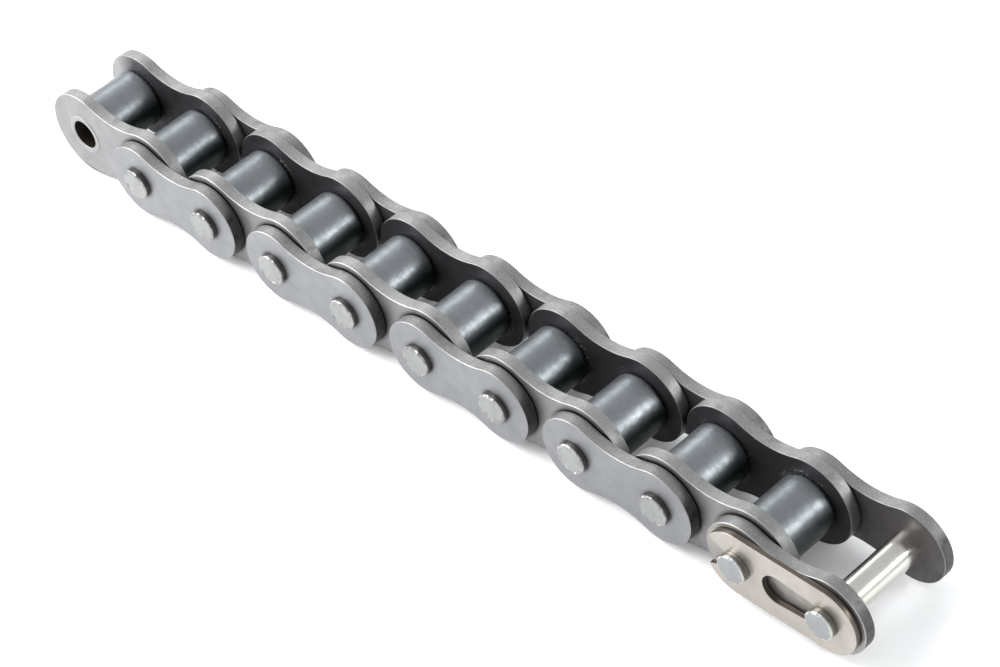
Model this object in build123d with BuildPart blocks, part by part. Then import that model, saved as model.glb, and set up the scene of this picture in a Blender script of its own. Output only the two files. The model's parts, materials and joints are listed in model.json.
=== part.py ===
from build123d import *
import os
from math import cos, hypot, radians, sin, sqrt

# A length of 3/4 inch pitch single-strand roller chain, ten pitches long, in millimetres.
#
# The chain lies straight along +X. Its joint centres are numbered from 0 at the open
# end to 10 at the connecting link, one pitch apart, on the line y = 0, z = 0.
# -Y is the near side, where the connecting link has its cover plate and spring clip.
# +Z is up. The origin is the centre of the open end bushing, joint centre 0.
#
# Inner links join centres 0-1, 2-3, 4-5, 6-7 and 8-9. Riveted outer links join 1-2,
# 3-4, 5-6 and 7-8. The connecting link joins 9 to the free pin at centre 10.

os.makedirs("parts", exist_ok=True)

# Chain
pitch = 19.05
inner_link_count = 5

# Link plates. A plate is two round lobes joined by a waist.
plate_thickness = 2.42
inner_lobe_radius = 9.0
inner_waist_half_height = 7.2
outer_lobe_radius = 7.75
outer_waist_half_height = 5.9

# Across the chain
inner_width = 12.6
bushing_proud = 0.1
side_play = 0.13

# Bushings and rollers
bushing_outer_radius = 4.15
bushing_wall = 1.13
bushing_interference = 0.01
roller_outer_radius = 5.955
roller_running_clearance = 0.08
roller_side_clearance = 0.15
roller_edge_break = 0.4

# Pins
pin_running_clearance = 0.04
cover_lead_in = 0.03
rivet_swell = 0.02
rivet_stand_out = 1.3
rivet_flare = 0.18
rivet_edge_break = 0.4
connecting_stand_out = 1.55
connecting_edge_break = 0.45

# Spring clip and the pin grooves that hold it
clip_thickness = 1.05
clip_gap = 0.35
clip_half_height = 6.85
clip_mouth_half_angle = 26.0
clip_throat_half_width = 1.5
groove_depth = 0.75
groove_side_clearance = 0.06
clip_seat_clearance = 0.08
clip_slot_shift = 10.2
clip_slot_clearance = 0.1

# Worked out from the sizes above
pin_radius = bushing_outer_radius - bushing_wall - pin_running_clearance
bushing_bore_radius = bushing_outer_radius - bushing_wall
roller_bore_radius = bushing_outer_radius + roller_running_clearance
inner_face = inner_width / 2
inner_outside = inner_face + plate_thickness
bushing_half_length = inner_outside + bushing_proud
outer_face = bushing_half_length + side_play
outer_outside = outer_face + plate_thickness
rivet_tip = outer_outside + rivet_stand_out
clip_back = outer_outside + clip_gap
clip_front = clip_back + clip_thickness
connecting_tip = clip_front + connecting_stand_out
groove_radius = pin_radius - cover_lead_in - groove_depth
clip_seat_radius = groove_radius + clip_seat_clearance
clip_slot_radius = pin_radius + clip_slot_clearance
last_inner_centre = 2 * inner_link_count - 1
free_pin_centre = last_inner_centre + 1


def across(y):
    """The plane at y whose sketches lie along the chain: sketch x is +X, sketch y is +Z."""
    return Plane(origin=(0, y, 0), x_dir=(1, 0, 0), z_dir=(0, -1, 0))


def link_outline(lobe_radius, waist_half_height):
    """One link plate from centre 0 to centre 1: two lobes, with the waist arcs tangent to both."""
    half = pitch / 2
    waist_radius = (half**2 + waist_half_height**2 - lobe_radius**2) / (
        2 * (lobe_radius - waist_half_height)
    )
    waist_centre_height = waist_half_height + waist_radius
    reach = hypot(half, waist_centre_height)
    tangent_x = lobe_radius * half / reach
    tangent_y = lobe_radius * waist_centre_height / reach
    with BuildSketch(mode=Mode.PRIVATE) as outline:
        with BuildLine():
            ThreePointArc(
                (tangent_x, tangent_y), (-lobe_radius, 0), (tangent_x, -tangent_y)
            )
            ThreePointArc(
                (tangent_x, -tangent_y),
                (half, -waist_half_height),
                (pitch - tangent_x, -tangent_y),
            )
            ThreePointArc(
                (pitch - tangent_x, -tangent_y),
                (pitch + lobe_radius, 0),
                (pitch - tangent_x, tangent_y),
            )
            ThreePointArc(
                (pitch - tangent_x, tangent_y),
                (half, waist_half_height),
                (tangent_x, tangent_y),
            )
        make_face()
    return outline.sketch


def link_plate(centre, near_y, lobe_radius, waist_half_height, hole_radius):
    """A link plate whose nearer face is at near_y and whose first hole is at joint centre."""
    with BuildPart() as plate:
        with BuildSketch(across(near_y + plate_thickness)):
            with Locations((centre * pitch, 0)):
                add(link_outline(lobe_radius, waist_half_height))
            with Locations((centre * pitch, 0), ((centre + 1) * pitch, 0)):
                Circle(hole_radius, mode=Mode.SUBTRACT)
        extrude(amount=plate_thickness)
    return plate.part


def bushing(centre):
    """A plain tube, pressed into both inner plates and a little proud of each."""
    with BuildPart() as tube:
        with BuildSketch(across(bushing_half_length)):
            with Locations((centre * pitch, 0)):
                Circle(bushing_outer_radius)
                Circle(bushing_bore_radius, mode=Mode.SUBTRACT)
        extrude(amount=2 * bushing_half_length)
    return tube.part


def roller(centre):
    """A roller that turns freely on its bushing, its outer rims broken."""
    half_length = inner_face - roller_side_clearance
    rim = half_length - roller_edge_break
    shoulder = roller_outer_radius - roller_edge_break
    with BuildPart() as wheel:
        with BuildSketch(Plane.XY):
            with Locations((centre * pitch, 0)):
                Polygon(
                    (roller_bore_radius, -half_length),
                    (shoulder, -half_length),
                    (roller_outer_radius, -rim),
                    (roller_outer_radius, rim),
                    (shoulder, half_length),
                    (roller_bore_radius, half_length),
                    align=None,
                )
        revolve(axis=Axis((centre * pitch, 0, 0), (0, 1, 0)))
    return wheel.part


def riveted_pin(centre):
    """A pin whose two ends swell in the outer plates and are spread over them by riveting."""
    swollen_radius = pin_radius + rivet_swell
    head_radius = pin_radius + rivet_flare
    face_radius = head_radius - rivet_edge_break
    edge = rivet_tip - rivet_edge_break
    with BuildPart() as pin:
        with BuildSketch(Plane.XY):
            with Locations((centre * pitch, 0)):
                Polygon(
                    (0, -rivet_tip),
                    (face_radius, -rivet_tip),
                    (head_radius, -edge),
                    (swollen_radius, -outer_outside),
                    (pin_radius, -outer_face),
                    (pin_radius, outer_face),
                    (swollen_radius, outer_outside),
                    (head_radius, edge),
                    (face_radius, rivet_tip),
                    (0, rivet_tip),
                    align=None,
                )
        revolve(axis=Axis((centre * pitch, 0, 0), (0, 1, 0)))
    return pin.part


def connecting_pin(centre):
    """A pin riveted on the far side only.

    Its near end tapers a little through the cover plate and has the groove for the spring clip.
    """
    tapered_radius = pin_radius - cover_lead_in
    swollen_radius = pin_radius + rivet_swell
    head_radius = pin_radius + rivet_flare
    far_edge = rivet_tip - rivet_edge_break
    groove_back = clip_back - groove_side_clearance
    groove_front = clip_front + groove_side_clearance
    near_edge = connecting_tip - connecting_edge_break
    with BuildPart() as pin:
        with BuildSketch(Plane.XY):
            with Locations((centre * pitch, 0)):
                Polygon(
                    (0, -connecting_tip),
                    (tapered_radius - connecting_edge_break, -connecting_tip),
                    (tapered_radius, -near_edge),
                    (tapered_radius, -groove_front),
                    (groove_radius, -groove_front),
                    (groove_radius, -groove_back),
                    (tapered_radius, -groove_back),
                    (pin_radius, -outer_face),
                    (pin_radius, outer_face),
                    (swollen_radius, outer_outside),
                    (head_radius, far_edge),
                    (head_radius - rivet_edge_break, rivet_tip),
                    (0, rivet_tip),
                    align=None,
                )
        revolve(axis=Axis((centre * pitch, 0, 0), (0, 1, 0)))
    return pin.part


def spring_clip():
    """A flat spring: a closed end with a keyhole slot, and a mouth that snaps over the other pin."""
    mouth = radians(clip_mouth_half_angle)
    mouth_reach = 2 * clip_half_height
    throat = clip_throat_half_width
    throat_x = -sqrt(clip_seat_radius**2 - throat**2)
    with BuildPart() as clip:
        with BuildSketch(across(-clip_back)):
            with Locations(((last_inner_centre + 0.5) * pitch, 0)):
                SlotCenterToCenter(pitch, 2 * clip_half_height)
            with Locations((last_inner_centre * pitch, 0)):
                Circle(clip_seat_radius, mode=Mode.SUBTRACT)
                Polygon(
                    (0, throat),
                    (throat_x, throat),
                    (-mouth_reach * cos(mouth), mouth_reach * sin(mouth)),
                    (-mouth_reach * cos(mouth), -mouth_reach * sin(mouth)),
                    (throat_x, -throat),
                    (0, -throat),
                    align=None,
                    mode=Mode.SUBTRACT,
                )
            with BuildSketch(mode=Mode.PRIVATE) as keyhole:
                with Locations((free_pin_centre * pitch, 0)):
                    Circle(clip_seat_radius)
                with Locations((free_pin_centre * pitch - clip_slot_shift, 0)):
                    Circle(clip_slot_radius)
                make_hull()
            add(keyhole.sketch, mode=Mode.SUBTRACT)
        extrude(amount=clip_thickness)
    return clip.part


def save(part, name):
    """Label a finished piece and write its STEP file."""
    part.label = name
    export_step(part, f"parts/{name}.step")


# Inner links: two plates, two bushings and two rollers each.
for link in range(inner_link_count):
    first = 2 * link
    for side, near_y in (("near", -inner_outside), ("far", inner_face)):
        plate = link_plate(
            first,
            near_y,
            inner_lobe_radius,
            inner_waist_half_height,
            bushing_outer_radius - bushing_interference,
        )
        save(plate, f"inner_plate_{link + 1}_{side}")
    for centre in (first, first + 1):
        save(bushing(centre), f"bushing_{centre}")
        save(roller(centre), f"roller_{centre}")

# Riveted outer links: two plates and two pins each.
for link in range(inner_link_count - 1):
    first = 2 * link + 1
    for side, near_y in (("near", -outer_outside), ("far", outer_face)):
        plate = link_plate(
            first, near_y, outer_lobe_radius, outer_waist_half_height, pin_radius
        )
        save(plate, f"outer_plate_{link + 1}_{side}")
    for centre in (first, first + 1):
        save(riveted_pin(centre), f"pin_{centre}")

# Connecting link: a fixed plate with two riveted pins, a cover plate and the spring clip.
fixed_plate = link_plate(
    last_inner_centre,
    outer_face,
    outer_lobe_radius,
    outer_waist_half_height,
    pin_radius,
)
save(fixed_plate, "connecting_fixed_plate")
cover_plate = link_plate(
    last_inner_centre,
    -outer_outside,
    outer_lobe_radius,
    outer_waist_half_height,
    pin_radius + pin_running_clearance,
)
save(cover_plate, "connecting_cover_plate")
for centre in (last_inner_centre, free_pin_centre):
    save(connecting_pin(centre), f"connecting_pin_{centre}")
save(spring_clip(), "spring_clip")
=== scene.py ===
# %% [markdown]
# # A length of roller chain with its connecting link
#
# A roller chain is the same few steel pieces over and over: figure-eight link plates, rollers on
# bushings, and pins riveted through the outer plates. One link at the end is different. Its cover
# plate comes off, and a flat spring clip holds it on. All the sizes are already fixed in the
# measured frame, so this script only gives each piece its real edges, its finish and some light.
#
# The work goes in four parts: the finishes, the plates, the round pieces with their pins and the
# clip, and last the floor, the light and the camera.

# %% Load the measured frame
import json
import math

import bpy
from mathutils import Matrix, Quaternion, Vector


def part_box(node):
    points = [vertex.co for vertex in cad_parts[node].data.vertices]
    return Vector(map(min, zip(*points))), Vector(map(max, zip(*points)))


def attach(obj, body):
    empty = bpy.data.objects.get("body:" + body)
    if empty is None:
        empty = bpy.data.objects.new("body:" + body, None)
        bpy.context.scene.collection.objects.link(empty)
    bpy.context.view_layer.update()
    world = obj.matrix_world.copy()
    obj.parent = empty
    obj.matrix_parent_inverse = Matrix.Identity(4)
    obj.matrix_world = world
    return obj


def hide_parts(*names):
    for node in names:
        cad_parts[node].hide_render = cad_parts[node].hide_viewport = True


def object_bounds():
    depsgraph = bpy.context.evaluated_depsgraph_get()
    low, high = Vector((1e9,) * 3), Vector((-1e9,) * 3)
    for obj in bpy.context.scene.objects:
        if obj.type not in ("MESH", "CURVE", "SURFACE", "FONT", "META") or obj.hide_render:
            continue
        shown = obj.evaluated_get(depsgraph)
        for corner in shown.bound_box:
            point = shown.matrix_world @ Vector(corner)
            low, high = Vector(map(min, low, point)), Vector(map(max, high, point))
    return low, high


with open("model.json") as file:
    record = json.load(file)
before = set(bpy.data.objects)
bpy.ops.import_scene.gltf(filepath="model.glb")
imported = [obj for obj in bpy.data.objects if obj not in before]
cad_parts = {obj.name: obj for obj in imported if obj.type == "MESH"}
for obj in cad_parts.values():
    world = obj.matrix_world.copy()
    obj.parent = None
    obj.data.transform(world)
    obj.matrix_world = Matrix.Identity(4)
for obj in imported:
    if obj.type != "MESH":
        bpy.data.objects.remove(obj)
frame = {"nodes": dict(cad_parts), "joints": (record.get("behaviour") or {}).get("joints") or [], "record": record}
frame_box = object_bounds()

# %% [markdown]
# The places of all pieces come from the frame. The chain lies along X with its pins along Y, so a
# few boxes of nodes are enough to read the pitch, the radii and where each face stands across the
# chain. Reading them once, by name, means that no number has to be typed twice. The bare pin and
# the open bore have their radii in the record, because other parts have to fit them.

# %% Read the chain's sizes from the frame
MM = 0.001
hinges = [joint for joint in frame["joints"] if joint["name"].startswith("link_hinge_")]
pitch = hinges[0]["pos_m"][0]
last_centre = len(hinges)
free_centre = last_centre + 1
inner_links = (last_centre + 1) // 2


def half_height(node):
    """Half the height of a node, which is its radius if it is round."""
    low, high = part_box(node)
    return (high.z - low.z) / 2


inner_low, inner_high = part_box("inner_plate_1_near")
outer_low, outer_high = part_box("outer_plate_1_near")
clip_low, clip_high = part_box("spring_clip")
plate_thickness = inner_high.y - inner_low.y
outer_outside = -outer_low.y
outer_face = -outer_high.y
roller_radius = half_height("roller_0")
roller_half_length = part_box("roller_0")[1].y
bushing_radius = half_height("bushing_0")
bushing_half_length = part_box("bushing_0")[1].y
head_radius = half_height("pin_1")
rivet_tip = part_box("pin_1")[1].y
clip_pin_tip = -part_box(f"connecting_pin_{free_centre}")[0].y
clip_back = -clip_high.y
clip_front = -clip_low.y
mounts = {mount["name"]: mount["dims"] for mount in frame["record"]["mounts"]}
pin_radius = mounts["connecting_pin"]["r_mm"] * MM
bore_radius = mounts["end_bore"]["r_mm"] * MM
print(f"pitch {pitch / MM:.2f} mm, plates {plate_thickness / MM:.2f} mm thick")
print(f"rollers {2 * roller_radius / MM:.2f} mm across, pins stand out to {rivet_tip / MM:.2f} mm")

# %% [markdown]
# Blender's operators work on whatever is selected. One small helper that selects exactly one object
# and nothing else saves a lot of trouble, because the imported frame starts out all selected.
# Copies are moved inside their meshes. Their objects stay at the origin, as the frame's own do, so
# a pattern that reads Object coordinates stays fixed to the steel when a joint moves.

# %% Helpers for selecting and editing


def only(piece):
    """Select one object, and nothing else, and make it the active one."""
    bpy.ops.object.select_all(action="DESELECT")
    piece.select_set(True)
    bpy.context.view_layer.objects.active = piece


def edit(piece, select="SELECT"):
    """Open one object in edit mode with everything, or nothing, selected."""
    only(piece)
    bpy.ops.object.mode_set(mode="EDIT")
    bpy.ops.mesh.select_all(action=select)


def done():
    """Leave edit mode."""
    bpy.ops.object.mode_set(mode="OBJECT")


def smooth(piece, degrees=40):
    """Smooth shading that keeps real corners, with flat faces left truly flat."""
    only(piece)
    bpy.ops.object.shade_smooth_by_angle(angle=math.radians(degrees), keep_sharp_edges=False)
    bpy.ops.object.modifier_add(type="WEIGHTED_NORMAL")
    piece.modifiers[-1].keep_sharp = True
    bpy.ops.object.modifier_apply(modifier=piece.modifiers[-1].name)


def moved_copy(piece, name, matrix):
    """A copy with its own mesh, moved in the mesh, so the object itself stays at the origin."""
    twin = piece.copy()
    twin.data = piece.data.copy()
    twin.name = name
    twin.data.transform(matrix)
    bpy.context.scene.collection.objects.link(twin)
    return twin


def count(piece):
    """How many triangles a piece has."""
    piece.data.calc_loop_triangles()
    return len(piece.data.loop_triangles)


print("helpers ready")

# %% [markdown]
# ## Finishes
#
# Bare steel is never one flat grey. It has a fine grain from rolling or tumbling, soft clouds of
# colour from heat treatment, and scratches that go one way. Each of these effects is built once as
# a node group that gives back a value from 0 to 1, and every finish then mixes them in its own way.
# The groups read Object coordinates, which are metres here, so a size in millimetres is real.
#
# The helpers come first. Each adds one or two nodes and returns the output that the next one needs,
# so a finish can be read as a sentence rather than as a list of wires.

# %% Node helpers


def add_node(tree, kind, x, y, **settings):
    """A node at this place in the node editor, with its settings."""
    node = tree.nodes.new(kind)
    node.location = (x, y)
    for key, value in settings.items():
        setattr(node, key, value)
    return node


def start_group(name, outputs):
    """A new node group whose Size input enlarges its whole pattern, with the outputs named."""
    tree = bpy.data.node_groups.new(name, "ShaderNodeTree")
    size = tree.interface.new_socket(name="Size", in_out="INPUT", socket_type="NodeSocketFloat")
    size.default_value = 1.0
    for label in outputs:
        tree.interface.new_socket(name=label, in_out="OUTPUT", socket_type="NodeSocketFloat")
    given = add_node(tree, "NodeGroupInput", -1300, -200)
    shrink = add_node(tree, "ShaderNodeMath", -1100, -200, operation="DIVIDE")
    shrink.inputs[0].default_value = 1.0
    tree.links.new(given.outputs["Size"], shrink.inputs[1])
    coords = add_node(tree, "ShaderNodeTexCoord", -1100, 0)
    scaled = add_node(tree, "ShaderNodeVectorMath", -900, 0, operation="SCALE")
    tree.links.new(coords.outputs["Object"], scaled.inputs[0])
    tree.links.new(shrink.outputs[0], scaled.inputs["Scale"])
    out = add_node(tree, "NodeGroupOutput", 600, 0)
    return tree, scaled.outputs[0], out


def ramp(tree, value, low, high, x, y, to_low=0.0, to_high=1.0):
    """Stretch the part of a value between low and high to a new range."""
    node = add_node(tree, "ShaderNodeMapRange", x, y, clamp=True)
    node.inputs["From Min"].default_value = low
    node.inputs["From Max"].default_value = high
    node.inputs["To Min"].default_value = to_low
    node.inputs["To Max"].default_value = to_high
    tree.links.new(value, node.inputs["Value"])
    return node.outputs["Result"]


def split(tree, output, x, y):
    """The X, Y and Z of Object coordinates, or of another output of Texture Coordinate."""
    coords = add_node(tree, "ShaderNodeTexCoord", x, y)
    apart = add_node(tree, "ShaderNodeSeparateXYZ", x + 200, y)
    tree.links.new(coords.outputs[output], apart.inputs[0])
    return apart.outputs


def noise(tree, coords, millimetres, detail, x, y, stretch=(1, 1, 1), roughness=0.5):
    """Noise whose lumps are about this many millimetres across, longer where stretch is under 1."""
    mapping = add_node(tree, "ShaderNodeMapping", x - 200, y)
    mapping.inputs["Scale"].default_value = stretch
    tree.links.new(coords, mapping.inputs["Vector"])
    node = add_node(tree, "ShaderNodeTexNoise", x, y)
    node.inputs["Scale"].default_value = 1 / (millimetres * MM)
    node.inputs["Detail"].default_value = detail
    node.inputs["Roughness"].default_value = roughness
    tree.links.new(mapping.outputs["Vector"], node.inputs["Vector"])
    return node.outputs["Fac"]


print("node helpers ready")

# %% [markdown]
# Four patterns are enough for all the steel here. Clouds are soft patches of colour and gloss. Grain
# is the fine tooth that tumbling leaves. Turning marks are noise stretched one way: short along the
# chain for the streaks of a punch, or squeezed across it for the rings that a lathe leaves. Specks
# are the rare high spots of a rough noise, where the skin has flaked off and bare steel shows.

# %% Shared patterns: clouds, grain, turning marks and specks
clouds, where, out = start_group("Steel Clouds", ["Wide", "Close"])
wide = noise(clouds, where, 14, 2, -400, 200)
close = noise(clouds, where, 2.6, 4, -400, -100)
clouds.links.new(ramp(clouds, wide, 0.35, 0.65, -100, 200), out.inputs["Wide"])
clouds.links.new(ramp(clouds, close, 0.3, 0.7, -100, -100), out.inputs["Close"])

grain, where, out = start_group("Tumbled Grain", ["Fine", "Coarse"])
fine = noise(grain, where, 0.16, 3, -400, 200, roughness=0.6)
coarse = noise(grain, where, 0.55, 3, -400, -100, roughness=0.6)
grain.links.new(fine, out.inputs["Fine"])
grain.links.new(coarse, out.inputs["Coarse"])

marks, where, out = start_group("Turning Marks", ["Along", "Around"])
lines_along = noise(marks, where, 0.35, 4, -400, 200, stretch=(1, 0.06, 1), roughness=0.7)
lines_around = noise(marks, where, 1.6, 3, -400, -100, stretch=(0.08, 6, 0.08), roughness=0.6)
marks.links.new(ramp(marks, lines_along, 0.56, 0.7, -100, 200), out.inputs["Along"])
marks.links.new(ramp(marks, lines_around, 0.4, 0.62, -100, -100), out.inputs["Around"])

flecks, where, out = start_group("Bright Specks", ["Specks"])
rough_noise = noise(flecks, where, 0.42, 5, -400, -100, roughness=0.75)
flecks.links.new(ramp(flecks, rough_noise, 0.54, 0.62, -100, -100), out.inputs["Specks"])
print("patterns:", [group.name for group in bpy.data.node_groups])

# %% [markdown]
# Old oil creeps into every narrow gap, and the gaps lie in shade, so each gap is painted near black
# here as shade with oil. That draws the dark line round each plate and rivet. It could be painted
# along each gap by hand, but the links turn, and the gaps move with them. An Ambient Occlusion node
# finds the gaps instead: it looks a short way out from the surface, and returns less where another piece stands
# close.

# %% Shared effect: painted shade and old oil in the creases
crease_shade_reach = 1.5 * MM
darkest_crease_shade = 0.93
crease_shade_group = bpy.data.node_groups.new("Crease Shade", "ShaderNodeTree")
reach = crease_shade_group.interface.new_socket(name="Reach", in_out="INPUT", socket_type="NodeSocketFloat")
reach.default_value = crease_shade_reach
crease_shade_group.interface.new_socket(name="Shade", in_out="OUTPUT", socket_type="NodeSocketFloat")
given = add_node(crease_shade_group, "NodeGroupInput", -600, 0)
close_by = add_node(crease_shade_group, "ShaderNodeAmbientOcclusion", -300, 0, samples=8)
out = add_node(crease_shade_group, "NodeGroupOutput", 300, 0)
crease_shade_group.links.new(given.outputs["Reach"], close_by.inputs["Distance"])
# Painted shade: the colour goes nearly black where another piece stands close, as in a shaded gap with oil.
painted_shade = ramp(crease_shade_group, close_by.outputs["AO"], 0.8, 0.52, 0, 0, 0.0, darkest_crease_shade)
crease_shade_group.links.new(painted_shade, out.inputs["Shade"])
print("effects:", [group.name for group in bpy.data.node_groups])

# %% [markdown]
# A finish is a Principled shader whose colour, roughness and bump come from those effects. One
# function makes the common steel, because the twenty plates, the pins and the clip differ in
# tone, gloss and grain rather than in kind. Metal with a roughness near 0.4 gives the soft satin
# look of tumbled steel, while polished rims go down to 0.2.

# %% The common steel finish


def effect(tree, group, output, x, y, size=1.0):
    """One output of a shared effect, its pattern made this much larger or smaller."""
    node = add_node(tree, "ShaderNodeGroup", x, y, node_tree=group)
    node.inputs["Size"].default_value = size
    return node.outputs[output]


def mixed(tree, factor, first, second, x, y):
    """A colour between two, each a plain colour or the output of another node."""
    node = add_node(tree, "ShaderNodeMix", x, y, data_type="RGBA")
    tree.links.new(factor, node.inputs[0])
    for socket, colour in ((node.inputs[6], first), (node.inputs[7], second)):
        if isinstance(colour, tuple):
            socket.default_value = (*colour, 1)
        else:
            tree.links.new(colour, socket)
    return node.outputs[2]


def both(tree, first, second, x, y):
    """One mask inside another: the product of two values."""
    node = add_node(tree, "ShaderNodeMath", x, y, operation="MULTIPLY")
    tree.links.new(first, node.inputs[0])
    tree.links.new(second, node.inputs[1])
    return node.outputs[0]


def bumped(tree, shader, heights, x=-100, y=-500):
    """Several heights in millimetres, each an output and its depth, one bump after another."""
    before = None
    for step, (value, depth) in enumerate(heights):
        node = add_node(tree, "ShaderNodeBump", x + 180 * step, y)
        node.inputs["Strength"].default_value = 1.0
        node.inputs["Distance"].default_value = depth * MM
        tree.links.new(value, node.inputs["Height"])
        if before:
            tree.links.new(before, node.inputs["Normal"])
        before = node.outputs["Normal"]
    tree.links.new(before, shader.inputs["Normal"])


def steel(name, light, dark, gloss, grain_depth=0.006, metallic=0.9, fine="Fine", size=1.0):
    """Satin steel: clouded colour, uneven gloss between two roughnesses, and a fine grain."""
    material = bpy.data.materials.new(name)
    material.use_nodes = True
    tree = material.node_tree
    shader = tree.nodes["Principled BSDF"]
    shader.inputs["Metallic"].default_value = metallic
    wide = effect(tree, clouds, "Wide", -900, 300)
    close = effect(tree, clouds, "Close", -900, 100, size)
    middle = tuple((a + b) / 2 for a, b in zip(light, dark))
    cloudy = mixed(tree, wide, light, middle, -600, 300)
    patches = ramp(tree, close, 0, 1, -600, 150, 0.0, 0.45)
    colour = mixed(tree, patches, cloudy, dark, -400, 300)
    speckle = effect(tree, grain, fine, -900, -100, size)
    dots = ramp(tree, speckle, 0.45, 0.8, -600, 0, 0.0, 0.5)
    grained = mixed(tree, dots, colour, dark, -200, 300)
    tree.links.new(grained, shader.inputs["Base Color"])
    roughness = ramp(tree, close, 0, 1, -400, -100, *gloss)
    tree.links.new(roughness, shader.inputs["Roughness"])
    bumped(tree, shader, [(speckle, grain_depth), (close, grain_depth * 3)])
    return material, tree, shader, grained


def shade_in_creases(tree, shader, colour):
    """Painted shade with old oil, nearly black, where another piece stands close to this surface."""
    crease = add_node(tree, "ShaderNodeGroup", 600, 600, node_tree=crease_shade_group)
    shaded = mixed(tree, crease.outputs["Shade"], colour, crease_shade_black, 900, 300)
    tree.links.new(shaded, shader.inputs["Base Color"])


crease_shade_black = (0.028, 0.03, 0.031)
plate_face, *inner_face_nodes = steel(
    "inner_plate_face", (0.272, 0.266, 0.27), (0.215, 0.21, 0.214), (0.40, 0.52)
)
outer_plate_face, *outer_face_nodes = steel(
    "outer_plate_face", (0.265, 0.269, 0.278), (0.215, 0.219, 0.227), (0.40, 0.50)
)
shade_in_creases(*inner_face_nodes)
shade_in_creases(*outer_face_nodes)
print("plate faces:", plate_face.name, outer_plate_face.name)

# %% [markdown]
# Plates are punched from strip. A punch leaves three zones: a flat face, an edge band with
# streaks straight through the thickness, and a rim that tumbling has rounded and polished. Each
# zone gets a finish of its own, chosen by which way a face of the mesh points. The edge is painted
# darker in patches, as shade, as its normal turns towards +X. The rims of the far plates are a little
# rougher than those of the near ones, and painted darker, as shade.

# %% Punched edges and polished rims
thin_oil = (0.10, 0.10, 0.11)
right_edge_shade_colour = (0.045, 0.045, 0.048)
bare_steel = (0.62, 0.62, 0.60)


def punched_edge(name, light, dark, right_edge_shade):
    """The sheared edge of a plate: streaks through the thickness, dark shiny smears of oil, and painted shade
    where it faces +X.
    """
    material, tree, shader, colour = steel(name, light, dark, (0.42, 0.58), 0.012)
    streak = effect(tree, marks, "Along", -900, -300)
    streaks = ramp(tree, streak, 0, 1, -600, -300, 0.0, 0.45)
    streaked = mixed(tree, streaks, colour, dark, 0, 300)
    smear = ramp(tree, effect(tree, clouds, "Close", -900, -500), 0.7, 1.0, -600, -500, 0.0, 0.3)
    smeared = mixed(tree, smear, streaked, thin_oil, 150, 300)
    bright = ramp(tree, effect(tree, flecks, "Specks", -900, -700), 0, 1, -600, -700, 0.0, 0.22)
    speckled = mixed(tree, bright, smeared, bare_steel, 300, 300)
    # Painted shade: the edge darkens in patches as its normal turns towards +X.
    facing = split(tree, "Normal", -900, -900)
    facing_right_shade = ramp(tree, facing["X"], 0.35, 0.85, -500, -900, 0.0, right_edge_shade)
    cloud = effect(tree, clouds, "Close", -900, -1100)
    patchy = ramp(tree, cloud, 0.1, 0.6, -500, -1100, 1.0, 0.75)
    patchy_right_shade = both(tree, facing_right_shade, patchy, -300, -900)
    shade_in_creases(tree, shader, mixed(tree, patchy_right_shade, speckled, right_edge_shade_colour, 450, 300))
    return material


plate_edge = punched_edge(
    "inner_plate_edge", (0.315, 0.311, 0.306), (0.205, 0.205, 0.202), right_edge_shade=0.45
)
outer_plate_edge = punched_edge(
    "outer_plate_edge", (0.28, 0.277, 0.272), (0.175, 0.175, 0.172), right_edge_shade=0.95
)
plate_rim, *_ = steel("polished_rim", (0.40, 0.40, 0.392), (0.24, 0.24, 0.235), (0.42, 0.58), 0.003)
# The far plates' rims are painted darker, as shade.
far_rim_shaded, *_ = steel("far_rim_shaded", (0.27, 0.268, 0.264), (0.17, 0.17, 0.168), (0.46, 0.6), 0.003)
print("edges:", plate_edge.name, outer_plate_edge.name, "rims:", plate_rim.name, far_rim_shaded.name)

# %% [markdown]
# The inner faces of the inner plates are painted dark, as the shade between the plates with their
# old oil, and lighter at the open end of the chain, where less shade is painted. The rollers rub
# flakes off them in a ring. Every ring is the same distance from a joint centre, and the centres are one pitch
# apart, so a Ping-Pong node folds the whole chain onto one joint and one ring serves all ten. A wide cloud then
# hides the flakes at most of the joints.

# %% Inner faces, painted dark as shade with oil
plate_inside, tree, shader, colour = steel(
    "shaded_oily_inside", (0.078, 0.078, 0.083), (0.05, 0.05, 0.054), (0.46, 0.6)
)
open_end_grey = (0.33, 0.325, 0.33)
flake_steel = (0.9, 0.91, 0.87)
full_shade_from, least_shade_from = -1 * MM, -6 * MM
flakes_to, flakes_from = roller_radius + 1.2 * MM, roller_radius + 0.2 * MM

# Painted shade: dark between the plates, lighter past the open end of the chain.
place = split(tree, "Object", -900, -900)
open_end_light = ramp(tree, place["X"], full_shade_from, least_shade_from, -500, -900, 0.0, 0.9)
lighter_open_end = mixed(tree, open_end_light, colour, open_end_grey, 0, 300)
from_joint = add_node(tree, "ShaderNodeMath", -500, -1100, operation="PINGPONG")
from_joint.inputs[1].default_value = 0.5 * pitch
around_joint = add_node(tree, "ShaderNodeCombineXYZ", -300, -1100)
radius = add_node(tree, "ShaderNodeVectorMath", -100, -1100, operation="LENGTH")
tree.links.new(place["X"], from_joint.inputs[0])
tree.links.new(from_joint.outputs[0], around_joint.inputs["X"])
tree.links.new(place["Z"], around_joint.inputs["Z"])
tree.links.new(around_joint.outputs[0], radius.inputs[0])
rubbed = ramp(tree, radius.outputs["Value"], flakes_to, flakes_from, 100, -1100)
specks = ramp(tree, effect(tree, flecks, "Specks", -900, -1300), 0.1, 0.6, -500, -1300)
flakes = both(tree, rubbed, specks, 300, -1100)
here = ramp(tree, effect(tree, clouds, "Wide", -900, -1500), 0.45, 0.85, -500, -1500, 0.0, 0.9)
flaked = mixed(tree, both(tree, flakes, here, 500, -1100), lighter_open_end, flake_steel, 700, 300)
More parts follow.
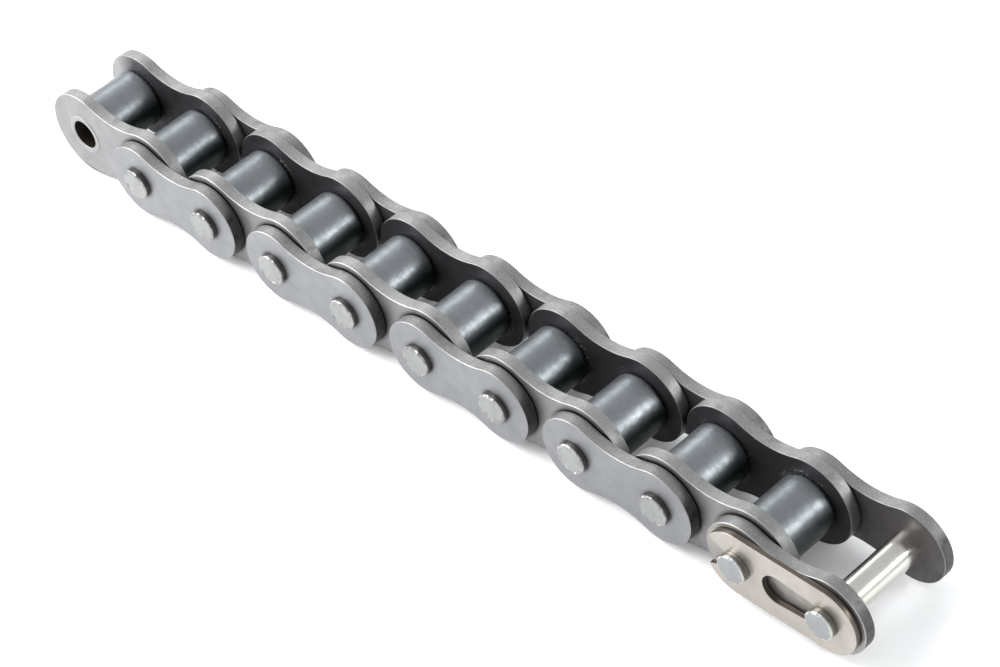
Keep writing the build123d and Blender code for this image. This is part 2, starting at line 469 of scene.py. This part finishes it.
tree.links.new(flaked, shader.inputs["Base Color"])
# The outer plates' inner faces are painted dark, as the shade between the plates.
outer_inside, *_ = steel("dull_shaded_inside", (0.15, 0.14, 0.14), (0.10, 0.094, 0.094), (0.46, 0.6), 0.008)
print("inner faces:", plate_inside.name, outer_inside.name)

# %% [markdown]
# Rollers are hardened and blackened, then dipped in oil, so they are a deep blue-grey with a
# clear gloss. Where a roller rubs the plates at its two ends the black is worn away in bright
# specks. The wear is placed by the distance across the chain, read from Object coordinates. The
# lower half is painted darker, as shade, which is why the bright top falls off so quickly to near black.

# %% Blackened rollers


def near_ends(tree, start, full, x, y):
    """0 in the middle of the chain's width, rising to 1 from start to full, across the chain."""
    place = split(tree, "Object", x - 400, y)
    size = add_node(tree, "ShaderNodeMath", x, y, operation="ABSOLUTE")
    tree.links.new(place["Y"], size.inputs[0])
    return ramp(tree, size.outputs[0], start, full, x + 200, y)


roller_steel, tree, shader, colour = steel(
    "roller_oxide",
    (0.258, 0.27, 0.289),
    (0.175, 0.188, 0.20),
    (0.33, 0.43),
    grain_depth=0.010,
    fine="Coarse",
    size=0.55,
)
turned_line = (0.10, 0.12, 0.125)
worn_steel = (0.95, 0.96, 0.93)
underside_shade = (0.026, 0.036, 0.033)
wear_from, wear_full = roller_half_length - 0.7 * MM, roller_half_length - 0.1 * MM
shade_above, shade_full = 3.6 * MM, 1.2 * MM

lines = ramp(tree, effect(tree, marks, "Around", -900, -300), 0, 1, -600, -300, 0, 0.15)
lined = mixed(tree, lines, colour, turned_line, 0, 300)
specks = effect(tree, flecks, "Specks", -900, -700, 0.8)
ends = near_ends(tree, wear_from, wear_full, -600, -700)
speckled = mixed(tree, both(tree, ends, specks, 0, -700), lined, worn_steel, 200, 300)
# The lower half of each roller is painted near black, as shade.
place = split(tree, "Object", -900, -900)
painted_shade = ramp(tree, place["Z"], shade_above, shade_full, -500, -900, 0.0, 0.85)
tree.links.new(mixed(tree, painted_shade, speckled, underside_shade, 400, 300), shader.inputs["Base Color"])
print("roller finish:", roller_steel.name)

# %% [markdown]
# A bushing shows only its end and its bore. The end is the grey of the plates. The bore is brown and
# dark, because little light gets in and old oil stays there.

# %% Bushings
bushing_steel, *_ = steel("bushing_end", (0.33, 0.322, 0.325), (0.24, 0.232, 0.232), (0.4, 0.52), 0.006)
bushing_bore, *_ = steel("bushing_bore", (0.10, 0.085, 0.07), (0.04, 0.034, 0.028), (0.35, 0.5), 0.006)
print("bushing finishes:", bushing_steel.name, bushing_bore.name)

# %% [markdown]
# The pins are ground bright, with fine rings round the barrel. Riveting leaves the end face dull and
# hammered, with a torn, shiny rim. The two connecting pins are not hammered at the clip's end, so
# they keep a flat, bluish face and a clean chamfer. Between the plates they are brightest, because
# nothing has rubbed that part yet. The spring clip is a warmer grey than the rest, and its stamped
# edge is brown from tempering.

# %% Pins, cover plate and spring clip


def ground_barrel(name, light, dark, gloss):
    """A ground pin: short rough scratches round it and dull streaks along it."""
    material, tree, shader, colour = steel(name, light, dark, gloss, 0.005, 0.95)
    rings = ramp(tree, effect(tree, marks, "Around", -900, -300), 0, 1, -600, -300, 0, 0.75)
    streaks = ramp(tree, effect(tree, marks, "Along", -900, -500), 0, 1, -600, -500, 0, 0.35)
    scored = mixed(tree, rings, colour, dark, 0, 300)
    tree.links.new(mixed(tree, streaks, scored, light, 200, 300), shader.inputs["Base Color"])
    return material


rivet_barrel = ground_barrel("rivet_barrel", (0.30, 0.295, 0.285), (0.085, 0.083, 0.08), (0.3, 0.48))
rivet_face, *_ = steel(
    "hammered_face", (0.345, 0.35, 0.345), (0.255, 0.26, 0.255), (0.36, 0.5), 0.014, fine="Coarse"
)
rivet_rim, *_ = steel(
    "peened_rim", (0.45, 0.45, 0.44), (0.13, 0.13, 0.125), (0.26, 0.46), 0.03, fine="Coarse"
)
clip_pin_barrel = ground_barrel("clip_pin_barrel", (0.42, 0.41, 0.39), (0.10, 0.097, 0.09), (0.2, 0.4))
clip_pin_bearing, *_ = steel(
    "clip_pin_bearing", (0.70, 0.68, 0.64), (0.56, 0.54, 0.505), (0.17, 0.27), 0.003, metallic=1.0
)
clip_pin_face, *_ = steel(
    "clip_pin_face", (0.33, 0.34, 0.35), (0.255, 0.262, 0.27), (0.36, 0.48), 0.005
)
clip_pin_chamfer, *_ = steel(
    "clip_pin_chamfer", (0.62, 0.62, 0.60), (0.36, 0.36, 0.35), (0.22, 0.4), 0.006
)
cover_face, *_ = steel("cover_plate_face", (0.33, 0.317, 0.30), (0.25, 0.24, 0.228), (0.32, 0.46))
clip_face, *_ = steel("spring_clip_face", (0.47, 0.44, 0.40), (0.335, 0.311, 0.28), (0.3, 0.42), 0.004)
clip_edge, *_ = steel("spring_clip_edge", (0.15, 0.125, 0.105), (0.085, 0.07, 0.058), (0.3, 0.44))
print("finishes made:", len(bpy.data.materials))

# %% [markdown]
# ## Link plates
#
# The frame's plate already has the exact outline, but its corners are knife sharp. A copy of its
# mesh is merged into one skin, its flat triangles are dissolved, and the sharp outline is bevelled.
# Three small steps round the edge enough to catch a thin line of light. The bores stay sharp,
# because a pin or a bushing fills them.
#
# Dissolving comes before bevelling, because a bevel on loose triangles breaks up where they meet.
# Each edge is kept or left by where its middle is: far from both joint centres means the outline.

# %% Dress a plate


def clean_copy(node, name):
    """A copy of a node's mesh as one closed skin with as few flat faces as it needs."""
    piece = bpy.data.objects.new(name, frame["nodes"][node].data.copy())
    bpy.context.scene.collection.objects.link(piece)
    edit(piece)
    bpy.ops.mesh.customdata_custom_splitnormals_clear()
    bpy.ops.mesh.remove_doubles(threshold=0.001 * MM)
    bpy.ops.mesh.dissolve_limited(angle_limit=math.radians(0.5))
    done()
    return piece


def round_edges(piece, width, keep=lambda middle: True, segments=3):
    """Bevel every sharp edge whose middle is one to keep."""
    edit(piece, "DESELECT")
    bpy.ops.mesh.select_mode(type="EDGE")
    bpy.ops.mesh.edges_select_sharp(sharpness=math.radians(40))
    done()
    points = piece.data.vertices
    for line in piece.data.edges:
        if line.select:
            a, b = line.vertices
            line.select = bool(keep((points[a].co + points[b].co) / 2))
    only(piece)
    bpy.ops.object.mode_set(mode="EDIT")
    bpy.ops.mesh.bevel(
        offset=width, segments=segments, affect="EDGES", clamp_overlap=False, loop_slide=False
    )
    done()


def paint(piece, finishes, choose):
    """Give a piece its finishes, and each face the one whose number choose returns."""
    piece.data.materials.clear()
    for finish in finishes:
        piece.data.materials.append(finish)
    for face in piece.data.polygons:
        face.material_index = choose(face)


def dressed_plate(node, name, finishes, rim=0.18 * MM):
    """A plate with its outline rounded: outer face, inner face, punched edge and polished rim."""
    piece = clean_copy(node, name)
    low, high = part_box(node)
    lobe = (high.z - low.z) / 2
    centres = (low.x + lobe, high.x - lobe)

    def on_outline(middle):
        nearest = min(math.hypot(middle.x - x, middle.z) for x in centres)
        return nearest > 0.7 * lobe

    round_edges(piece, rim, on_outline)

    def zone(face):
        if face.normal.y < -0.95:
            return 0
        if face.normal.y > 0.95:
            return 1
        return 2 if abs(face.normal.y) < 0.1 else 3

    paint(piece, finishes, zone)
    smooth(piece)
    return piece


inner_finishes = [plate_face, plate_inside, plate_edge, plate_rim]
outer_finishes = [outer_plate_face, outer_inside, outer_plate_edge, plate_rim]
rim_slot = inner_finishes.index(plate_rim)
inner_master = dressed_plate("inner_plate_1_near", "inner_plate_master", inner_finishes)
outer_master = dressed_plate("outer_plate_1_near", "outer_plate_master", outer_finishes)
print("triangles in a plate:", count(inner_master), count(outer_master))

# %% [markdown]
# Every other plate is a copy. A near plate is slid along the chain. A far plate is the same plate
# turned half round about an upright line through the middle of its link, so that its good face
# looks outwards too. Copying two finished masters keeps all the plates alike, as stampings from one
# die are. The colour still differs from plate to plate, because the clouds are fixed in space and
# each copy lies in another part of them.
#
# The cover plate is made on its own, because its bores are a little wider and it is a warmer grey.

# %% Lay the plates along the chain


def near_copy(master, name, steps):
    """The master slid this many pitches along the chain."""
    return moved_copy(master, name, Matrix.Translation((steps * pitch, 0, 0)))


def far_copy(master, name, steps, first_middle):
    """The master turned to the far side about its link's middle, then slid, with its rims painted darker as shade.
    """
    turn = Matrix.Rotation(math.pi, 4, "Z")
    to_axis = Matrix.Translation((-first_middle, 0, 0))
    back = Matrix.Translation((first_middle + steps * pitch, 0, 0))
    piece = moved_copy(master, name, back @ turn @ to_axis)
    piece.data.materials[rim_slot] = far_rim_shaded
    return piece


def fit(piece, body, slot, *nodes):
    """The piece moves with its body and stands for the nodes. The slot is not used."""
    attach(piece, body)
    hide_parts(*nodes)


for link in range(1, inner_links + 1):
    steps = 2 * (link - 1)
    body = f"inner_link_{link}"
    near = near_copy(inner_master, f"dressed_inner_plate_{link}_near", steps)
    far = far_copy(inner_master, f"dressed_inner_plate_{link}_far", steps, 0.5 * pitch)
    fit(near, body, "inner_plate_steel", f"inner_plate_{link}_near")
    fit(far, body, "inner_plate_steel", f"inner_plate_{link}_far")

for link in range(1, inner_links):
    steps = 2 * (link - 1)
    body = f"outer_link_{link}"
    near = near_copy(outer_master, f"dressed_outer_plate_{link}_near", steps)
    far = far_copy(outer_master, f"dressed_outer_plate_{link}_far", steps, 1.5 * pitch)
    fit(near, body, "outer_plate_steel", f"outer_plate_{link}_near")
    fit(far, body, "outer_plate_steel", f"outer_plate_{link}_far")

fixed_plate = far_copy(outer_master, "dressed_fixed_plate", 2 * inner_links - 2, 1.5 * pitch)
fit(fixed_plate, "connecting_link", "outer_plate_steel", "connecting_fixed_plate")
for master in (inner_master, outer_master):
    bpy.data.objects.remove(master)
cover_finishes = [cover_face, outer_inside, outer_plate_edge, plate_rim]
cover_plate = dressed_plate("connecting_cover_plate", "dressed_cover_plate", cover_finishes)
fit(cover_plate, "cover_plate", "cover_plate_steel", "connecting_cover_plate")
print("plates laid:", 4 * inner_links)

# %% [markdown]
# ## Rollers and bushings
#
# A roller and a bushing are turned pieces. The natural way to model one is to start from a ring of
# points and pull it from station to station along the axis, scaling it to each radius, the way a
# lathe tool follows a profile. Where the profile comes back to its start, the last ring is merged
# with the first, and the skin is closed.

# %% A helper that turns a profile


def turned(name, stations, steps=96, closed=False):
    """A round piece about the Y axis at centre 0, from a list of (radius, y) stations."""
    radius, y = stations[0]
    bpy.ops.object.select_all(action="DESELECT")
    bpy.ops.mesh.primitive_circle_add(
        vertices=steps,
        radius=radius,
        fill_type="NOTHING" if closed else "NGON",
        location=(0, y, 0),
        rotation=(math.pi / 2, 0, 0),
    )
    piece = bpy.context.object
    piece.name = name
    bpy.ops.object.transform_apply(location=True, rotation=True, scale=True)
    edit(piece)
    for (old_radius, old_y), (radius, y) in zip(stations, stations[1:]):
        bpy.ops.mesh.extrude_region_move(TRANSFORM_OT_translate={"value": (0, y - old_y, 0)})
        share = radius / old_radius
        if share != 1:
            bpy.ops.transform.resize(value=(share, 1, share), center_override=(0, y, 0))
    bpy.ops.mesh.select_all(action="SELECT")
    if closed:
        bpy.ops.mesh.remove_doubles(threshold=0.0005 * MM)
    bpy.ops.mesh.normals_make_consistent(inside=False)
    done()
    return piece


def quarter_round(radius, y, size, start, end, side, steps=4):
    """Stations of a rounded corner of this size, as angles in degrees from the face to the barrel."""
    stations = []
    for step in range(steps + 1):
        angle = math.radians(start + (end - start) * step / steps)
        inset = size - size * math.sin(angle)
        below = size - size * math.cos(angle)
        stations.append((radius - inset, y - side * below))
    return stations


print("turning helpers ready")

# %% [markdown]
# A roller is rolled from strip or cold formed, so its ends curve in softly. The corner is a quarter
# round in four steps. It is larger than the bevelled edge in the frame, and stays inside it.

# %% Turn the rollers
roller_corner = 0.85 * MM
roller_play = 0.08 * MM
roller_bore = bushing_radius + roller_play
end = roller_half_length
roller_profile = (
    [(roller_bore, -end)]
    + quarter_round(roller_radius, -end, roller_corner, 0, 90, -1)
    + quarter_round(roller_radius, end, roller_corner, 90, 0, 1)
    + [(roller_bore, end), (roller_bore, -end)]
)
roller_master = turned("roller_master", roller_profile, closed=True)
paint(roller_master, [roller_steel], lambda face: 0)
smooth(roller_master, 50)
for centre in range(free_centre):
    roller = near_copy(roller_master, f"dressed_roller_{centre}", centre)
    fit(roller, f"roller_{centre}", "roller_steel", f"roller_{centre}")
bpy.data.objects.remove(roller_master)
print("rollers:", free_centre, "of", count(roller), "triangles")

# %% [markdown]
# A bushing is a plain tube with a small lip at each rim, inside and out. All ten are made, though
# only the open one at the end is seen, because the others show when the chain is taken apart.

# %% Turn the bushings
lip = 0.12 * MM
end = bushing_half_length
bushing_profile = (
    quarter_round(bushing_radius, -end, lip, 0, 90, -1, 2)
    + quarter_round(bushing_radius, end, lip, 90, 0, 1, 2)
    + [(bore_radius + lip, end), (bore_radius, end - lip)]
    + [(bore_radius, lip - end), (bore_radius + lip, -end)]
    + [(bushing_radius - lip, -end)]
)
bushing_master = turned("bushing_master", bushing_profile, closed=True)


def bushing_zone(face):
    """The bore is dark, and everything outside it is grey."""
    inside = math.hypot(face.center.x, face.center.z) < bore_radius + 0.2 * lip
    return 1 if inside else 0


paint(bushing_master, [bushing_steel, bushing_bore], bushing_zone)
smooth(bushing_master, 50)
for centre in range(free_centre):
    bushing = near_copy(bushing_master, f"dressed_bushing_{centre}", centre)
    fit(bushing, f"inner_link_{centre // 2 + 1}", "bushing_steel", f"bushing_{centre}")
bpy.data.objects.remove(bushing_master)
print("bushings:", free_centre)

# %% [markdown]
# ## Riveted pins
#
# A riveted pin is plain through the chain. Its ends were struck with a ring-shaped punch, which
# leaves a flat middle and a torn rim spread a little over the plate. The head is turned with several
# close rings, and the rings of the rim are then roughened with a Displace modifier that reads a
# lumpy procedural texture and acts only on a vertex group.
#
# The hammer never lands twice the same way, so each copy of the pin is turned to another angle. No
# two torn rims next to each other then look alike.

# %% Turn the riveted pins
rim_width = 0.5 * MM
rim_depth = 0.45 * MM
tear_reach = 0.6 * MM
tear_fade = 0.8 * MM
lump_size = 1.1 * MM
pin_turn = 67


def rivet_stations(side):
    """Stations of one riveted head, from the plate out to the middle of the end face."""
    face = head_radius - 0.42 * MM
    rows = [
        (pin_radius, outer_face),
        (pin_radius, outer_outside),
        (pin_radius + 0.03 * MM, outer_outside + 0.35 * MM),
        (pin_radius + 0.08 * MM, outer_outside + 0.62 * MM),
        (head_radius - 0.03 * MM, rivet_tip - 0.42 * MM),
        (head_radius - 0.02 * MM, rivet_tip - 0.28 * MM),
        (head_radius - 0.10 * MM, rivet_tip - 0.14 * MM),
        (head_radius - 0.22 * MM, rivet_tip - 0.05 * MM),
        (face, rivet_tip - 0.03 * MM),
        (face - 0.12 * MM, rivet_tip - 0.09 * MM),
        (0.5 * face, rivet_tip - 0.06 * MM),
        (0.1 * face, rivet_tip - 0.05 * MM),
    ]
    return [(radius, side * y) for radius, y in rows]


def tear_rim(piece, tips, depth=0.6 * MM):
    """Push the rims at these tips, one or two along Y, about with a lumpy texture."""
    group = piece.vertex_groups.new(name="rim")
    for point in piece.data.vertices:
        radius = math.hypot(point.co.x, point.co.z)
        below = min(abs(tip - point.co.y) for tip in tips)
        if below < tear_reach and radius > head_radius - 0.65 * MM:
            group.add([point.index], 1 - below / tear_fade, "REPLACE")
    only(piece)
    lumps = bpy.data.textures.new("torn_lumps", "VORONOI")
    lumps.noise_scale = lump_size
    bpy.ops.object.modifier_add(type="DISPLACE")
    push = piece.modifiers[-1]
    push.texture = lumps
    push.vertex_group = "rim"
    push.mid_level = 0.62
    push.strength = depth
    bpy.ops.object.modifier_apply(modifier=push.name)
    piece.vertex_groups.clear()


def rivet_zone(face):
    """Barrel, end face or torn rim, by the place of a face of the mesh."""
    radius = math.hypot(face.center.x, face.center.z)
    if abs(face.center.y) < rivet_tip - rim_depth:
        return 0
    return 1 if radius < head_radius - rim_width else 2


pin_master = turned("pin_master", rivet_stations(-1)[::-1] + rivet_stations(1), steps=120)
tear_rim(pin_master, (-rivet_tip, rivet_tip))
paint(pin_master, [rivet_barrel, rivet_face, rivet_rim], rivet_zone)
smooth(pin_master, 35)
for centre in range(1, last_centre):
    turn = Matrix.Rotation(math.radians(pin_turn * centre), 4, "Y")
    place = Matrix.Translation((centre * pitch, 0, 0))
    pin = moved_copy(pin_master, f"dressed_pin_{centre}", place @ turn)
    fit(pin, f"outer_link_{(centre + 1) // 2}", "pin_steel", f"pin_{centre}")
bpy.data.objects.remove(pin_master)
print("riveted pins:", last_centre - 1, "of", count(pin), "triangles")

# %% [markdown]
# A connecting pin is riveted at the far side only. Its near end is left as it was turned: a flat
# face, a rounded chamfer, and the groove that the spring clip sits in. The groove is what holds the
# whole link together, so it is turned as real geometry and not only drawn as a dark ring.

# %% Turn the connecting pins
lead_in = 0.03 * MM
groove_depth = 0.75 * MM
clip_end_tear = 0.35 * MM
near_radius = pin_radius - lead_in
groove_radius = near_radius - groove_depth
groove_play = 0.06 * MM
corner = 0.4 * MM
near_profile = (
    [(0.1 * MM, -clip_pin_tip), (0.5 * near_radius, -clip_pin_tip)]
    + quarter_round(near_radius, -clip_pin_tip, corner, 0, 90, -1)
    + [(near_radius, -clip_front - groove_play), (groove_radius, -clip_front - groove_play)]
    + [(groove_radius, -clip_back + groove_play), (near_radius, -clip_back + groove_play)]
    + [(pin_radius, -outer_face)]
)
clip_pin_master = turned("clip_pin_master", near_profile + rivet_stations(1), steps=120)
tear_rim(clip_pin_master, (rivet_tip,))
tear_rim(clip_pin_master, (-clip_pin_tip,), clip_end_tear)


def clip_pin_zone(face):
    """As a riveted pin at the far side, and clean face and chamfer at the near side."""
    if face.center.y > 0:
        return rivet_zone(face)
    if face.center.y > -outer_outside:
        return 5
    if face.center.y > -clip_pin_tip + corner:
        return 0
    return 3 if abs(face.normal.y) > 0.95 else 4


clip_pin_finishes = [clip_pin_barrel, rivet_face, rivet_rim]
clip_pin_finishes += [clip_pin_face, clip_pin_chamfer, clip_pin_bearing]
paint(clip_pin_master, clip_pin_finishes, clip_pin_zone)
smooth(clip_pin_master, 35)
for centre in (last_centre, free_centre):
    pin = near_copy(clip_pin_master, f"dressed_connecting_pin_{centre}", centre)
    fit(pin, "connecting_link", "connecting_pin_steel", f"connecting_pin_{centre}")
bpy.data.objects.remove(clip_pin_master)
print("connecting pins: 2 of", count(pin), "triangles")

# %% [markdown]
# ## Spring clip
#
# The clip is a flat spring with a keyhole slot and an open mouth. It is stamped and tumbled, so all
# its corners are lightly rounded, and its thin edge shows the brown of tempering. Here every sharp
# edge is kept for the bevel, the slot's and the mouth's as well, with two steps on so small a corner.

# %% Dress the spring clip
clip_corner = 0.11 * MM
clip = clean_copy("spring_clip", "dressed_spring_clip")
round_edges(clip, clip_corner, segments=2)


def clip_zone(face):
    """The stamped edge runs across the chain, and the two flat faces look along Y."""
    return 1 if abs(face.normal.y) < 0.1 else 0


paint(clip, [clip_face, clip_edge], clip_zone)
smooth(clip)
fit(clip, "spring_clip", "clip_steel", "spring_clip")
print("clip triangles:", count(clip))

# %% [markdown]
# ## Floor, light and camera
#
# Satin metal shows what stands round it more than its own colour. The near faces mirror the pale
# floor, so they come out light, and the floor matters as much as any lamp. It is a matt plane just
# under the lowest plate. A faint glow of its own keeps the shadows on it pale and a little violet.

# %% Floor
bpy.ops.object.select_all(action="DESELECT")
floor_gap = 0.02 * MM
bpy.ops.mesh.primitive_plane_add(size=6, location=(0.1, 0, frame_box[0].z - floor_gap))
floor = bpy.context.object
floor.name = "pale_floor"
floor_paint = bpy.data.materials.new("pale_floor_paint")
floor_paint.use_nodes = True
floor_tree = floor_paint.node_tree
floor_shader = floor_tree.nodes["Principled BSDF"]
floor_cloud = effect(floor_tree, clouds, "Wide", -400, 200)
floor_colour = mixed(floor_tree, floor_cloud, (0.93, 0.935, 0.945), (0.95, 0.95, 0.95), -200, 200)
floor_tree.links.new(floor_colour, floor_shader.inputs["Base Color"])
floor_shader.inputs["Roughness"].default_value = 0.8
floor_shader.inputs["Emission Color"].default_value = (0.98, 0.95, 1.0, 1)
floor_shader.inputs["Emission Strength"].default_value = 0.12
floor.data.materials.append(floor_paint)
print("floor at", round(floor.location.z / MM, 2), "mm")

# %% [markdown]
# An even pale world fills the shadows. Two long, thin lamps lie across the ends of the chain, beyond
# its right end and beyond its left. A roller is a cylinder, so it stretches each of them into a
# streak along its barrel: a bright narrow one low on the right and a dim wide one high on the left.
# A soft square lamp in front lights the left half of the chain more, so the faces fade to the right.

# %% Studio light
world = bpy.data.worlds.new("pale_studio")
bpy.context.scene.world = world
world.use_nodes = True
world.node_tree.nodes["Background"].inputs["Color"].default_value = (0.97, 0.985, 1, 1)
world.node_tree.nodes["Background"].inputs["Strength"].default_value = 0.8
middle = Vector((0.5 * free_centre * pitch, 0, 0))


def soft_lamp(name, direction, distance, width, height, watts, tint=(1.0, 1.0, 1.0)):
    """An area lamp in this direction from the middle of the chain, facing it."""
    away = Vector(direction).normalized()
    data = bpy.data.lights.new(name, "AREA")
    data.shape = "RECTANGLE"
    data.size = width
    data.size_y = height
    data.energy = watts
    data.color = tint
    lamp = bpy.data.objects.new(name, data)
    lamp.location = middle + away * distance
    lamp.rotation_mode = "QUATERNION"
    lamp.rotation_quaternion = away.to_track_quat("Z", "Y")
    bpy.context.scene.collection.objects.link(lamp)
    print("lamp:", name)


soft_lamp("roller_streak_lamp", (0.78, 0.48, 0.42), 0.9, 0.6, 0.12, 2.9, (0.96, 1.0, 0.975))
soft_lamp("roller_band_lamp", (-0.714, 0.476, 0.512), 0.9, 0.6, 0.16, 1.35, (0.93, 1.0, 0.985))
soft_lamp("front_lamp", (-0.9, -0.5, 0.7), 0.55, 0.5, 0.5, 6.2)

# %% [markdown]
# The camera looks down along the chain from its near right side, through a long lens, so the far
# end is only a little smaller than the near one. It is placed by two angles and a distance from the
# point that it looks at, and then rolled a few degrees.

# %% Camera
camera_azimuth = math.radians(48.89)
camera_height = math.radians(43.63)
camera_roll = math.radians(-6.845)
camera_distance = 605.5 * MM
camera_aim = Vector((101.25 * MM, 3.05 * MM, -1.0 * MM))
flat = math.cos(camera_height)
across_x = math.sin(camera_azimuth) * flat
across_y = -math.cos(camera_azimuth) * flat
back = Vector((across_x, across_y, math.sin(camera_height)))
camera_data = bpy.data.cameras.new("camera")
camera_data.lens = 121.2
camera = bpy.data.objects.new("camera", camera_data)
camera.location = camera_aim + back * camera_distance
camera.rotation_mode = "QUATERNION"
camera.rotation_quaternion = (-back).to_track_quat("-Z", "Y") @ Quaternion((0, 0, 1), camera_roll)
bpy.context.scene.collection.objects.link(camera)
bpy.context.scene.camera = camera
bpy.context.scene.view_settings.view_transform = "Standard"
print("camera looks at", [round(value / MM, 2) for value in camera_aim], "mm")
